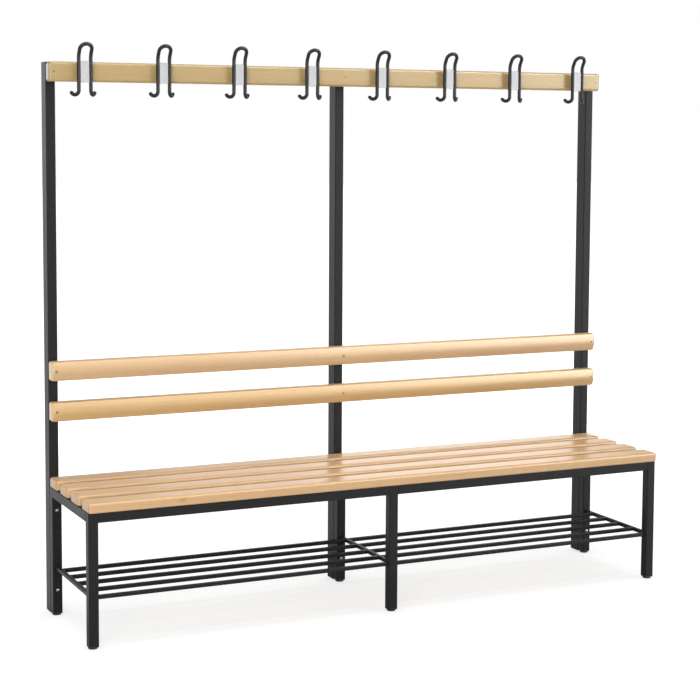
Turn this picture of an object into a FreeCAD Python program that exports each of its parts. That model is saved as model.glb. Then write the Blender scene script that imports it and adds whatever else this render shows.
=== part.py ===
import FreeCAD, Part
import math
import os

# Cloakroom bench: tubular steel frame, beech seat, backrest and hook rail, wire hooks, shoe rack.
# Millimetres. X runs along the bench, Y from front to back, Z up. The floor is Z = 0.
# The origin is on the floor under the middle of the bench.

# Overall sizes
frame_length = 1960.0
frame_depth = 415.0
frame_height = 400.0
overall_height = 1700.0

# Square tube of the legs and seat rails
leg_side = 30.0
rail_side = 30.0
tube_wall = 2.0
tube_inner_corner = 1.0

# Rectangular tube of the uprights, and the plugs in their ends
upright_width = 30.0
upright_depth = 50.0
upright_floor_gap = 3.0
cap_plate = 2.0
cap_skirt = 12.0
cap_skirt_wall = 1.5
cap_clearance = 0.1

# Shoe rack
rack_bar_side = 12.0
rack_bar_wall = 1.5
rack_bar_inner_corner = 0.5
rack_height = 150.0
rack_bar_count = 5
rack_back_gap = 55.0

# Seat slats
slat_count = 4
slat_width = 76.0
slat_thickness = 30.0
slat_front_overhang = 8.0
slat_back_gap = 2.0
slat_top_round = 8.0
slat_bottom_round = 4.0

# Backrest rails and hook rail
wood_rail_height = 60.0
wood_rail_thickness = 40.0
backrest_lower_z = 605.0
backrest_upper_z = 730.0
backrest_bulge = 8.0
wood_rail_round = 8.0
wood_rail_end_round = 7.5

# Coat hooks: one bent wire each, a leaning loop above the rail and two curled prongs below it
hook_count = 8
hook_end_gap = 105.0
hook_wire = 11.5
hook_spacing = 37.5
hook_standoff = 20.0
hook_rise = 58.0
hook_drop = 45.0
hook_bend_gap = 6.0
hook_bend_radius = 34.0
hook_lean_degrees = 33.0
prong_radius = 14.0
prong_sweep_degrees = 168.0
prong_turn_degrees = 48.0
hook_tip_round_share = 0.8

# Hook holders: a moulded plate between the two legs of a hook, on a block that stands on the rail
holder_overlap = 2.5
holder_front = 2.0
holder_back = 3.0
holder_round = 1.0
holder_block_width = 16.0
holder_block_height = 40.0
holder_clearance = 0.15

# Countersunk screws through the beech rails into the uprights
rail_screw_shank = 5.0
rail_screw_head = 9.0
rail_screw_bite = 15.0
screw_clearance = 0.1

# Pan-head screws: from below into the slats, and from behind into the hook holders
pan_screw_shank = 5.0
pan_screw_head = 9.5
pan_screw_head_height = 3.5
pan_screw_round = 1.2
slat_screw_bite = 20.0
slat_screw_inset = 14.0
holder_screw_bite = 15.0

# Dome-head bolts that hold the uprights to the rear legs, with their washers and nuts
bolt_shank = 6.0
bolt_head = 12.0
bolt_head_height = 3.5
bolt_clearance = 0.25
bolt_lower_z = 80.0
bolt_top_inset = 70.0
bolt_past_nut = 2.0
washer_outer = 12.0
washer_thickness = 1.6
nut_across_flats = 10.0
nut_height = 5.0
nut_sides = 6

# Levelling glides and the threaded inserts that carry them
glide_disc = 28.0
glide_disc_height = 6.0
glide_disc_round = 2.5
glide_stem = 8.0
glide_stem_length = 30.0
glide_clearance = 0.3
insert_flange = 2.0
insert_plug = 22.0
insert_clearance = 0.1

# All cuts run this far past the material
overrun = 1.0

# Places worked out from the sizes above
overall_depth = (slat_front_overhang + frame_depth + upright_depth
                 + washer_thickness + nut_height + bolt_past_nut)
slat_front_y = -overall_depth / 2
leg_front_y = slat_front_y + slat_front_overhang
front_leg_y = leg_front_y + leg_side / 2
leg_back_y = leg_front_y + frame_depth
rear_leg_y = leg_back_y - leg_side / 2
upright_y = leg_back_y + upright_depth / 2
upright_back_y = leg_back_y + upright_depth
wood_rail_front_y = leg_back_y - wood_rail_thickness
leg_bottom_z = glide_disc_height + insert_flange
rail_bottom_z = frame_height - rail_side
hook_rail_z = overall_height - wood_rail_height
side_names = ("left", "centre", "right")
end_leg_x = frame_length / 2 - leg_side / 2
leg_places = dict(zip(side_names, (-end_leg_x, 0.0, end_leg_x)))
end_rail_x = frame_length / 2 - rail_side / 2
rail_places = dict(zip(side_names, (-end_rail_x, 0.0, end_rail_x)))
end_upright_x = frame_length / 2 - upright_width / 2
upright_places = dict(zip(side_names, (-end_upright_x, 0.0, end_upright_x)))
bolt_heights = (bolt_lower_z, frame_height - bolt_top_inset)
bay_length = end_leg_x - leg_side
tube_corner = tube_inner_corner + tube_wall
rack_bar_corner = rack_bar_inner_corner + rack_bar_wall
rack_bar_pitch = (rear_leg_y - front_leg_y - rack_back_gap) / (rack_bar_count - 1)
hook_pitch = (frame_length - 2 * hook_end_gap) / (hook_count - 1)
wood_rail_heights = {
    "backrest_rail_lower": backrest_lower_z,
    "backrest_rail_upper": backrest_upper_z,
    "hook_rail": hook_rail_z,
}

# Directions and the origin
V = FreeCAD.Vector
ORIGIN = V(0, 0, 0)
ALONG_X = V(1, 0, 0)
ALONG_Y = V(0, 1, 0)
ALONG_Z = V(0, 0, 1)
QUARTER_TURN = 90
HALF_TURN = 180


# Helpers
def moved(shape, x, y, z):
    """A copy of a shape, moved."""
    copy = shape.copy()
    copy.translate(V(x, y, z))
    return copy


def edges_along(shape, axis):
    """The straight edges of a shape that run along an axis."""
    found = []
    for edge in shape.Edges:
        span = edge.Vertexes[-1].Point.sub(edge.Vertexes[0].Point)
        if span.Length > 0 and abs(abs(span.dot(axis)) - span.Length) < Part.Precision.confusion():
            found.append(edge)
    return found


def prism(width, depth, length, radius):
    """A bar of rounded rectangular section that stands on Z = 0."""
    box = Part.makeBox(width, depth, length, V(-width / 2, -depth / 2, 0))
    return box.makeFillet(radius, edges_along(box, ALONG_Z))


def tube(width, depth, length, wall, corner):
    """A rectangular tube that stands on Z = 0, with rounded corners inside and out."""
    bore = prism(width - 2 * wall, depth - 2 * wall, length + 2 * overrun, corner - wall)
    return prism(width, depth, length, corner).cut(moved(bore, 0, 0, -overrun))


def laid_along_x(shape, middle_y, middle_z, start_x):
    """A standing bar, laid down to run along X from a start."""
    shape.rotate(ORIGIN, ALONG_Y, QUARTER_TURN)
    return moved(shape, start_x, middle_y, middle_z)


def laid_along_y(shape, middle_x, middle_z, start_y):
    """A standing bar, laid down to run along Y from a start."""
    shape.rotate(ORIGIN, ALONG_X, -QUARTER_TURN)
    return moved(shape, middle_x, start_y, middle_z)


def hole(diameter, length, start, direction):
    """A round cutter that starts one overrun before its place and ends one overrun past its length."""
    before = V(direction).multiply(-overrun)
    return Part.makeCylinder(diameter / 2, length + 2 * overrun, start.add(before), direction)


def turned(profile, axis):
    """A solid of revolution about Z, turned to stand along an axis. The profile lies in the XZ plane."""
    solid = Part.Face(Part.makePolygon(profile + profile[:1])).revolve(ORIGIN, ALONG_Z, 2 * HALF_TURN)
    solid.rotate(ORIGIN, *turn_from_z(axis))
    return solid


def turn_from_z(axis):
    """The axis and angle of the turn that takes Z to a direction."""
    rotation = FreeCAD.Rotation(ALONG_Z, axis)
    return rotation.Axis, math.degrees(rotation.Angle)


def arc(start, middle, end):
    """An edge through three points."""
    return Part.Arc(start, middle, end).toShape()


def save(name, *solids):
    """Write one node: a single solid, or a group of separate solids."""
    shape = solids[0] if len(solids) == 1 else Part.makeCompound(solids)
    shape.exportStep(os.path.join("parts", name + ".step"))


# Legs and seat rails
def leg(x, y):
    """A leg of square tube from its insert's flange up to the underside of the slats."""
    length = frame_height - leg_bottom_z
    return moved(tube(leg_side, leg_side, length, tube_wall, tube_corner), x, y, leg_bottom_z)


def bolt_holes(side, y, length):
    """Cutters for the two bolts that cross a rear leg and the middle of its upright."""
    diameter = bolt_shank + 2 * bolt_clearance
    return [hole(diameter, length, V(upright_places[side], y, z), ALONG_Y) for z in bolt_heights]


def build_legs():
    """Six legs. The rear ones are drilled for the bolts."""
    for side, x in leg_places.items():
        save("front_leg_" + side, leg(x, front_leg_y))
        drilled = leg(x, rear_leg_y).cut(bolt_holes(side, leg_back_y - leg_side, leg_side))
        save("rear_leg_" + side, drilled)


def seat_rail(length):
    """A seat rail of square tube."""
    return tube(rail_side, rail_side, length, tube_wall, tube_corner)


def slat_middles():
    """Y of the middle of each slat, front to back."""
    back = leg_back_y - slat_back_gap - slat_width
    pitch = (back - slat_front_y) / (slat_count - 1)
    return [slat_front_y + slat_width / 2 + pitch * i for i in range(slat_count)]


def slat_screw_places():
    """Y of each slat's screws: under its middle, but clear of the legs."""
    first = leg_front_y + leg_side + slat_screw_inset
    last = leg_back_y - leg_side - slat_screw_inset
    return [min(max(y, first), last) for y in slat_middles()]


def build_seat_rails():
    """Front and back rails between the legs of each bay, and rails from front to back at the legs."""
    middle_z = frame_height - rail_side / 2
    front_y = leg_front_y + rail_side / 2
    back_y = leg_back_y - rail_side / 2
    for side, start in (("left", -end_leg_x + leg_side / 2), ("right", leg_side / 2)):
        save("front_rail_" + side, laid_along_x(seat_rail(bay_length), front_y, middle_z, start))
        save("rear_rail_" + side, laid_along_x(seat_rail(bay_length), back_y, middle_z, start))
    for side, x in rail_places.items():
        rail = laid_along_y(seat_rail(frame_depth - 2 * leg_side), x, middle_z, leg_front_y + leg_side)
        diameter = pan_screw_shank + 2 * screw_clearance
        holes = [hole(diameter, rail_side, V(x, y, rail_bottom_z), ALONG_Z) for y in slat_screw_places()]
        save("cross_rail_" + side, rail.cut(holes))


# Uprights and their end caps
def build_uprights():
    """Three uprights behind the rear legs, drilled for the bolts and for the beech rails' screws."""
    bottom = upright_floor_gap + cap_plate
    length = overall_height - cap_plate - bottom
    diameter = rail_screw_shank + 2 * screw_clearance
    for side, x in upright_places.items():
        upright = tube(upright_width, upright_depth, length, tube_wall, tube_corner)
        holes = bolt_holes(side, leg_back_y, upright_depth)
        for z in wood_rail_heights.values():
            holes.append(hole(diameter, tube_wall, V(x, leg_back_y, z + wood_rail_height / 2), ALONG_Y))
        save("upright_" + side, moved(upright, x, upright_y, bottom).cut(holes))


def end_cap():
    """A plug for an upright's end: a plate as wide as the tube, and below it a hollow skirt."""
    width = upright_width - 2 * (tube_wall + cap_clearance)
    depth = upright_depth - 2 * (tube_wall + cap_clearance)
    inside = tube_corner - tube_wall
    plate = prism(upright_width, upright_depth, cap_plate, tube_corner)
    skirt = prism(width, depth, cap_skirt, inside)
    hollow_width = width - 2 * cap_skirt_wall
    hollow_depth = depth - 2 * cap_skirt_wall
    hollow = prism(hollow_width, hollow_depth, cap_skirt + overrun, inside)
    ring = skirt.cut(moved(hollow, 0, 0, -overrun))
    ring = moved(ring, 0, 0, -cap_plate - cap_skirt)
    return moved(plate, 0, 0, -cap_plate).fuse(ring).removeSplitter()


def build_caps():
    """A cap in the top and one in the bottom of each upright."""
    caps = []
    for x in upright_places.values():
        caps.append(moved(end_cap(), x, upright_y, overall_height))
        low = end_cap()
        low.rotate(ORIGIN, ALONG_X, HALF_TURN)
        caps.append(moved(low, x, upright_y, upright_floor_gap))
    save("upright_caps", *caps)


# Shoe rack
def rack_bar(length):
    """A bar of small square tube."""
    return tube(rack_bar_side, rack_bar_side, length, rack_bar_wall, rack_bar_corner)


def build_rack():
    """Cross bars from front to rear legs. Long bars end on them, but the front ones end on the legs."""
    for side, x in leg_places.items():
        start = leg_front_y + leg_side
        bar = rack_bar(frame_depth - 2 * leg_side)
        save("rack_cross_bar_" + side, laid_along_y(bar, x, rack_height, start))
    for side, sign in (("left", -1), ("right", 1)):
        for i in range(rack_bar_count):
            end_width = leg_side if i == 0 else rack_bar_side
            length = end_leg_x - end_width
            start = sign * end_leg_x / 2 - length / 2
            y = front_leg_y + rack_bar_pitch * i
            bar = laid_along_x(rack_bar(length), y, rack_height, start)
            save("rack_bar_{}_{}".format(side, i + 1), bar)


# Beech pieces
def seat_slat():
    """A slat along X, centred on X = 0, with its front edge at Y = 0 and its underside at Z = 0."""
    solid = Part.makeBox(frame_length, slat_width, slat_thickness, V(-frame_length / 2, 0, 0))
    solid = solid.makeFillet(slat_top_round, [e for e in solid.Edges if e.CenterOfMass.z > 0])
    below = [e for e in solid.Edges if abs(e.CenterOfMass.z) < Part.Precision.confusion()]
    return solid.makeFillet(slat_bottom_round, below)


def build_slats():
    """Four seat slats with holes for the screws that come up through the cross rails."""
    diameter = pan_screw_shank + 2 * screw_clearance
    bite = slat_screw_bite + screw_clearance - overrun
    for number, (middle, screw_y) in enumerate(zip(slat_middles(), slat_screw_places()), 1):
        slat = moved(seat_slat(), 0, middle - slat_width / 2, frame_height)
        holes = [hole(diameter, bite, V(x, screw_y, frame_height), ALONG_Z) for x in rail_places.values()]
        save("seat_slat_{}".format(number), slat.cut(holes))


def countersunk_screw(extra):
    """A countersunk screw along +Y with its flat head at Y = 0, larger all round by an extra."""
    head = rail_screw_head / 2 + extra
    shank = rail_screw_shank / 2 + extra
    neck = head - shank
    end = wood_rail_thickness + rail_screw_bite + extra
    return turned([V(0, 0, 0), V(head, 0, 0), V(shank, 0, neck), V(shank, 0, end), V(0, 0, end)], ALONG_Y)


def rail_screw_places():
    """Where the screws of the beech rails have their heads."""
    return [V(x, wood_rail_front_y, z + wood_rail_height / 2)
            for z in wood_rail_heights.values() for x in upright_places.values()]


def wood_rail(bulge):
    """A rail along X, centred on X = 0, with its front at Y = 0 and its underside at Z = 0.

    The middle of its front swells forward from the edges by the bulge.
    """
    corners = [V(0, bulge, 0), V(0, wood_rail_thickness, 0),
               V(0, wood_rail_thickness, wood_rail_height), V(0, bulge, wood_rail_height)]
    edges = [Part.makeLine(start, end) for start, end in zip(corners, corners[1:])]
    if bulge > 0:
        edges.append(arc(corners[-1], V(0, 0, wood_rail_height / 2), corners[0]))
    else:
        edges.append(Part.makeLine(corners[-1], corners[0]))
    solid = Part.Face(Part.Wire(edges)).extrude(V(frame_length, 0, 0))
    solid = solid.makeFillet(wood_rail_round, edges_along(solid, ALONG_X))
    reach = frame_length / 2 - wood_rail_end_round
    ends = [e for e in solid.Edges if abs(e.CenterOfMass.x - frame_length / 2) > reach]
    return moved(solid.makeFillet(wood_rail_end_round, ends), -frame_length / 2, 0, 0)


def build_wood_rails():
    """Two backrest rails and the hook rail, with countersunk holes at the uprights."""
    cutters = [moved(countersunk_screw(screw_clearance), *place) for place in rail_screw_places()]
    for name, z in wood_rail_heights.items():
        bulge = 0 if name == "hook_rail" else backrest_bulge
        rail = moved(wood_rail(bulge), 0, wood_rail_front_y, z)
        holes = list(cutters)
        if name == "hook_rail":
            diameter = pan_screw_shank + 2 * screw_clearance
            for x in hook_places():
                start = V(x, wood_rail_front_y, z + wood_rail_height / 2)
                holes.append(hole(diameter, wood_rail_thickness, start, ALONG_Y))
        save(name, rail.cut(holes))


# Coat hooks and their holders
def hook_places():
    """X of the middle of each hook."""
    first = -hook_pitch * (hook_count - 1) / 2
    return [first + hook_pitch * i for i in range(hook_count)]


def hook_half(sign):
    """Edges of one half of a hook's middle line, from the prong's tip to the start of the round top."""
    x = sign * hook_spacing / 2
    turn = math.radians(prong_turn_degrees)
    outward = V(sign * math.cos(turn), math.sin(turn), 0)
    leg_end = V(x, 0, hook_rail_z - hook_drop + hook_wire / 2 + prong_radius)

    def prong(degrees):
        angle = math.radians(degrees)
        side = V(outward).multiply(prong_radius * (1 - math.cos(angle)))
        return leg_end.add(side).add(V(0, 0, -prong_radius * math.sin(angle)))

    lean = math.radians(hook_lean_degrees)
    bend_start = V(x, 0, overall_height + holder_overlap + hook_bend_gap)

    def bend(angle):
        forward = hook_bend_radius * (1 - math.cos(angle))
        return bend_start.add(V(0, -forward, hook_bend_radius * math.sin(angle)))

    slope = V(0, -math.sin(lean), math.cos(lean))
    top_z = overall_height + hook_rise - hook_wire / 2
    straight = (top_z - bend(lean).z) / math.cos(lean) - hook_spacing / 2
    loop_start = bend(lean).add(V(slope).multiply(straight))
    edges = [
        arc(prong(prong_sweep_degrees), prong(prong_sweep_degrees / 2), leg_end),
        Part.makeLine(leg_end, bend_start),
        arc(bend_start, bend(lean / 2), bend(lean)),
        Part.makeLine(bend(lean), loop_start),
    ]
    return edges, loop_start, slope


def coat_hook():
    """One hook: a round wire swept along its middle line, with rounded tips. Its legs stand on Y = 0."""
    left, loop_left, slope = hook_half(-1)
    right, loop_right, _ = hook_half(1)
    centre = (loop_left + loop_right) / 2
    crown = centre.add(V(slope).multiply(hook_spacing / 2))
    path = Part.Wire(left + [arc(loop_left, crown, loop_right)] + right[::-1])
    tip = left[0].valueAt(left[0].FirstParameter)
    section = Part.Wire(Part.makeCircle(hook_wire / 2, tip, left[0].tangentAt(left[0].FirstParameter)))
    wire = path.makePipeShell([section], True, True)
    far_tip = V(-tip.x, tip.y, tip.z)
    rims = [e for e in wire.Edges
            if min(e.CenterOfMass.distanceToPoint(t) for t in (tip, far_tip)) < hook_wire / 2]
    return wire.makeFillet(hook_wire / 2 * hook_tip_round_share, rims)


def hook_holder():
    """A plate with grooved sides between the legs of a hook, and behind it the block that carries it."""
    height = wood_rail_height + 2 * holder_overlap
    front = hook_standoff + holder_front
    back = hook_standoff - holder_back
    plate = Part.makeBox(hook_spacing, front - back, height, V(-hook_spacing / 2, -front, -holder_overlap))
    rims = [e for e in edges_along(plate, ALONG_X) if e.CenterOfMass.y < -hook_standoff]
    plate = plate.makeFillet(holder_round, rims)
    block_bottom = (wood_rail_height - holder_block_height) / 2
    block = Part.makeBox(holder_block_width, back, holder_block_height,
                         V(-holder_block_width / 2, -back, block_bottom))
    cutters = []
    for sign in (-1, 1):
        foot = V(sign * hook_spacing / 2, -hook_standoff, -holder_overlap)
        cutters.append(hole(hook_wire + 2 * holder_clearance, height, foot, ALONG_Z))
    bite = holder_screw_bite + screw_clearance - overrun
    cutters.append(hole(pan_screw_shank + 2 * screw_clearance, bite,
                        V(0, 0, wood_rail_height / 2), V(0, -1, 0)))
    return plate.fuse(block).removeSplitter().cut(cutters)


def build_hooks():
    """The hooks, each its own node, and their holders as a group."""
    hook_y = wood_rail_front_y - hook_standoff
    for number, x in enumerate(hook_places(), 1):
        save("coat_hook_{}".format(number), moved(coat_hook(), x, hook_y, 0))
    holder = hook_holder()
    save("hook_holders", *[moved(holder, x, wood_rail_front_y, hook_rail_z) for x in hook_places()])


# Fasteners
def pan_screw(length):
    """A pan-head screw along +Z: the head lies below Z = 0 and the shank above it."""
    head = Part.makeCylinder(pan_screw_head / 2, pan_screw_head_height, V(0, 0, -pan_screw_head_height))
    rim = min(head.Edges, key=lambda e: e.CenterOfMass.z)
    head = head.makeFillet(pan_screw_round, [rim])
    return head.fuse(Part.makeCylinder(pan_screw_shank / 2, length)).removeSplitter()


def dome_bolt():
    """A dome-head bolt along +Y: its head in front of Y = 0, its shank through a leg and an upright."""
    radius = ((bolt_head / 2) ** 2 + bolt_head_height ** 2) / (2 * bolt_head_height)
    dome = Part.makeSphere(radius, V(0, radius - bolt_head_height, 0))
    keep = Part.makeBox(bolt_head, bolt_head_height, bolt_head,
                        V(-bolt_head / 2, -bolt_head_height, -bolt_head / 2))
    length = leg_side + upright_depth + washer_thickness + nut_height + bolt_past_nut
    shank = Part.makeCylinder(bolt_shank / 2, length, ORIGIN, ALONG_Y)
    return dome.common(keep).fuse(shank).removeSplitter()


def hexagon_nut():
    """A hexagon nut that starts at Y = 0."""
    corner = nut_across_flats / 2 / math.cos(math.pi / nut_sides)
    angles = [2 * math.pi * i / nut_sides for i in range(nut_sides)]
    points = [V(corner * math.cos(a), 0, corner * math.sin(a)) for a in angles]
    body = Part.Face(Part.makePolygon(points + points[:1])).extrude(V(0, nut_height, 0))
    return body.cut(hole(bolt_shank + 2 * screw_clearance, nut_height, ORIGIN, ALONG_Y))


def ring_washer():
    """A flat washer that starts at Y = 0."""
    disc = Part.makeCylinder(washer_outer / 2, washer_thickness, ORIGIN, ALONG_Y)
    return disc.cut(hole(bolt_shank + 2 * bolt_clearance, washer_thickness, ORIGIN, ALONG_Y))


def build_fasteners():
    """Bolts with washers and nuts, and the screws of the slats, the beech rails and the hook holders."""
    places = [(x, z) for x in upright_places.values() for z in bolt_heights]
    save("frame_bolts", *[moved(dome_bolt(), x, leg_back_y - leg_side, z) for x, z in places])
    save("frame_washers", *[moved(ring_washer(), x, upright_back_y, z) for x, z in places])
    save("frame_nuts", *[moved(hexagon_nut(), x, upright_back_y + washer_thickness, z) for x, z in places])
    slat_screw = pan_screw(rail_side + slat_screw_bite)
    save("slat_screws", *[moved(slat_screw, x, y, rail_bottom_z)
                          for x in rail_places.values() for y in slat_screw_places()])
    save("rail_screws", *[moved(countersunk_screw(0), *place) for place in rail_screw_places()])
    holder_screw = pan_screw(wood_rail_thickness + holder_screw_bite)
    holder_screw.rotate(ORIGIN, ALONG_X, QUARTER_TURN)
    save("holder_screws", *[moved(holder_screw, x, leg_back_y, hook_rail_z + wood_rail_height / 2)
                            for x in hook_places()])


# Levelling glides
def threaded_insert():
    """An insert for a leg's end: a flange under the tube, a plug in it and a bore for the glide."""
    plug_side = leg_side - 2 * (tube_wall + insert_clearance)
    flange = prism(leg_side, leg_side, insert_flange, tube_corner)
    plug = moved(prism(plug_side, plug_side, insert_plug, tube_corner - tube_wall), 0, 0, insert_flange)
    bore = hole(glide_stem + 2 * glide_clearance, insert_flange + insert_plug, ORIGIN, ALONG_Z)
    return flange.fuse(plug).removeSplitter().cut(bore)


def levelling_glide():
    """A round glide with rounded rims, standing on Z = 0, and its stem."""
    disc = Part.makeCylinder(glide_disc / 2, glide_disc_height)
    foot = min(disc.Edges, key=lambda e: e.CenterOfMass.z)
    disc = disc.makeFillet(glide_disc_round, [foot])
    stem = Part.makeCylinder(glide_stem / 2, glide_disc_height + glide_stem_length)
    return disc.fuse(stem).removeSplitter()


def build_glides():
    """A glide under each leg, each its own node, and the inserts as a group."""
    inserts = []
    for row, y in (("front", front_leg_y), ("rear", rear_leg_y)):
        for side, x in leg_places.items():
            save("glide_{}_{}".format(row, side), moved(levelling_glide(), x, y, 0))
            inserts.append(moved(threaded_insert(), x, y, glide_disc_height))
    save("glide_inserts", *inserts)


os.makedirs("parts", exist_ok=True)
build_legs()
build_seat_rails()
build_uprights()
build_caps()
build_rack()
build_slats()
build_wood_rails()
build_hooks()
build_fasteners()
build_glides()
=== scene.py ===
"""Looks of a cloakroom bench: finishes, fasteners, glides, welds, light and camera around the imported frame.

Metres. X runs along the bench, Y from front to back, Z up, and the floor is Z = 0.
"""

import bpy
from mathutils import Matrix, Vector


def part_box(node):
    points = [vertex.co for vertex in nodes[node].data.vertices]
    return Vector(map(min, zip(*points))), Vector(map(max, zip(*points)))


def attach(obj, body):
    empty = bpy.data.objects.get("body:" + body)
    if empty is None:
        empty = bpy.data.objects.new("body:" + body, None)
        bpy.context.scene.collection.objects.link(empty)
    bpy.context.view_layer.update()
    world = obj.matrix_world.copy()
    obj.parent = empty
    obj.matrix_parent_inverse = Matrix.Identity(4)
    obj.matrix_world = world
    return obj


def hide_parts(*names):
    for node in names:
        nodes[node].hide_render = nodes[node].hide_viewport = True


bl_info = {
    "name": "Cloakroom bench",
    "version": (1, 0, 0),
    "blender": (4, 5, 0),
    "location": "View3D > Sidebar > Bench",
    "description": "Finishes, fasteners, glides, light and camera for a cloakroom bench",
    "category": "Object",
}

import math

import bmesh
import bpy
import numpy as np
from bpy.props import FloatProperty, FloatVectorProperty, IntProperty, PointerProperty
from bpy.types import Operator, Panel, PropertyGroup
from mathutils import Matrix, Vector

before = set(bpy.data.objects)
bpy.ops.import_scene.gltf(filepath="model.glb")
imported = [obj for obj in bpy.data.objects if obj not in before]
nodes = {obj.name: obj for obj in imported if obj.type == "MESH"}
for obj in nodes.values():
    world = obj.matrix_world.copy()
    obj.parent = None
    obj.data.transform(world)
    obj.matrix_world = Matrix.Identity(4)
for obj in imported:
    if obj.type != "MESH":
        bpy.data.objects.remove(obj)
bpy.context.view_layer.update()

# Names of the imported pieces
SIDES = ("left", "centre", "right")
BAYS = ("left", "right")
LEG_ROWS = ("front", "rear")
SLATS = tuple(sorted(name for name in nodes if name.startswith("seat_slat_")))
RAILS = ("backrest_rail_lower", "backrest_rail_upper", "hook_rail")
HOOKS = tuple(sorted(name for name in nodes if name.startswith("coat_hook_")))
RACK_BARS = tuple(sorted(name for name in nodes if name.startswith("rack_bar_")))
GLIDES = tuple(f"glide_{row}_{side}" for row in LEG_ROWS for side in SIDES)
TUBES = tuple(name for name in nodes if name.startswith(
    ("front_leg_", "rear_leg_", "front_rail_", "rear_rail_", "cross_rail_", "upright_", "rack_"))
    and name != "upright_caps")
FRAME_BODY = "frame"

# Directions that a turned piece can stand along: the columns are the local X, Y and Z
TO_FRONT = np.array(((1, 0, 0), (0, 0, -1), (0, 1, 0)), float)
TO_BACK = np.array(((1, 0, 0), (0, 0, 1), (0, -1, 0)), float)
TO_FLOOR = np.array(((1, 0, 0), (0, -1, 0), (0, 0, -1)), float)
UPRIGHT = np.eye(3)

# How fine the surfaces are, from which angle an edge is sharp, and how near points are merged
SCREW_SPOKES = 72
BOLT_SPOKES = 64
NUT_SPOKES = 192
GLIDE_SPOKES = 160
THREAD_ROWS_PER_TURN = 8
HEAD_ROWS = 26
ROUND_ROWS = 7
BEAD_ROWS = 25
BEAD_COLUMNS = 10
CAP_CORNER_POINTS = 9
SHARP_ANGLE = math.radians(38)
MERGE_DISTANCE = 1e-6
QUARTER_TURN = math.pi / 2
FULL_TURN = 2 * math.pi

# The Mix node's socket numbers for colours: its share, its two colours and its result
MIX_SHARE = 0
MIX_FIRST = 6
MIX_SECOND = 7
MIX_RESULT = 2

ORIGIN = (0, 0, 0)
ONES = (1, 1, 1)


def middle(node):
    """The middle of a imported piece's box."""
    low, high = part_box(node)
    return (low + high) / 2


# Shader helpers
class Wire:
    """One output of a shader node. Arithmetic on it adds Math nodes."""

    def __init__(self, finish, socket):
        self.finish = finish
        self.socket = socket

    def maths(self, operation, first, second):
        """A Math node on two values or wires."""
        return self.finish.node("ShaderNodeMath", {"operation": operation}, {0: first, 1: second})

    def __add__(self, other):
        return self.maths("ADD", self, other)

    def __radd__(self, other):
        return self.maths("ADD", other, self)

    def __sub__(self, other):
        return self.maths("SUBTRACT", self, other)

    def __rsub__(self, other):
        return self.maths("SUBTRACT", other, self)

    def __mul__(self, other):
        return self.maths("MULTIPLY", self, other)

    def __rmul__(self, other):
        return self.maths("MULTIPLY", other, self)

    def __truediv__(self, other):
        return self.maths("DIVIDE", self, other)

    def __rtruediv__(self, other):
        return self.maths("DIVIDE", other, self)


class Finish:
    """A node tree that is being drawn. One method adds any node, and the rest are short names for some."""

    def __init__(self, owner):
        owner.use_nodes = True
        owner.node_tree.nodes.clear()
        self.tree = owner.node_tree

    def node(self, kind, settings, sockets, out=0):
        """Add a node: its settings first, then values or wires on its sockets. Gives one output back."""
        made = self.tree.nodes.new(kind)
        for name, value in settings.items():
            setattr(made, name, value)
        for key, value in sockets.items():
            if isinstance(value, Wire):
                self.tree.links.new(value.socket, made.inputs[key])
            else:
                made.inputs[key].default_value = value
        return Wire(self, made.outputs[out]) if made.outputs else None

    def place(self, shift=ORIGIN, stretch=ONES):
        """Object coordinates, stretched and then shifted."""
        place = self.node("ShaderNodeTexCoord", {}, {}, "Object")
        return self.node("ShaderNodeMapping", {}, {"Vector": place, "Location": shift, "Scale": stretch})

    def noise(self, waves, octaves, roughness, shift=ORIGIN):
        """Cloudy values about one half, with so many waves per metre along X, Y and Z."""
        sockets = {"Vector": self.place(shift, waves), "Scale": 1.0,
                   "Detail": octaves, "Roughness": roughness}
        return self.node("ShaderNodeTexNoise", {}, sockets)

    def step(self, value, low, high):
        """A smooth step from 0 at the low value to 1 at the high one."""
        sockets = {"Value": value, "From Min": low, "From Max": high}
        return self.node("ShaderNodeMapRange", {"interpolation_type": "SMOOTHSTEP"}, sockets)

    def blend(self, amount, first, second):
        """A colour between two colours."""
        sockets = {MIX_SHARE: amount, MIX_FIRST: first, MIX_SECOND: second}
        return self.node("ShaderNodeMix", {"data_type": "RGBA"}, sockets, MIX_RESULT)

    def tinted(self, amount, tone, shares):
        """A colour between a darker and a lighter share of one tone."""
        dark, light = (opaque(np.multiply(tone, tint)) for tint in shares)
        return self.blend(amount, dark, light)

    def axis(self, place, name):
        """One coordinate of a place."""
        return self.node("ShaderNodeSeparateXYZ", {}, {"Vector": place}, name)

    def distance(self, place, point):
        """How far a place is from a point."""
        return self.node("ShaderNodeVectorMath", {"operation": "DISTANCE"}, {0: place, 1: point}, "Value")

    def relief(self, height, strength, depth):
        """A normal that follows a height map."""
        return self.node("ShaderNodeBump", {}, {"Height": height, "Strength": strength, "Distance": depth})

    def surface(self, **sockets):
        """The Principled shader on the material's output. Underscores in the names stand for spaces."""
        named = {name.replace("_", " "): value for name, value in sockets.items()}
        shader = self.node("ShaderNodeBsdfPrincipled", {}, named)
        self.node("ShaderNodeOutputMaterial", {}, {"Surface": shader})


def opaque(colour):
    """A colour with full opacity."""
    return (*colour, 1.0)


# Sizes and colours that a user may change
def length(name, description, default):
    """A length in metres."""
    return FloatProperty(name=name, description=description, default=default, min=0.0,
                         precision=5, subtype="DISTANCE", unit="LENGTH")


def share(name, description, default):
    """A share between 0 and 1."""
    return FloatProperty(name=name, description=description, default=default, min=0.0, max=1.0,
                         subtype="FACTOR")


def colour(name, description, default):
    """A linear colour."""
    return FloatVectorProperty(name=name, description=description, default=default, min=0.0, max=1.0,
                               size=3, subtype="COLOR")


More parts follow.
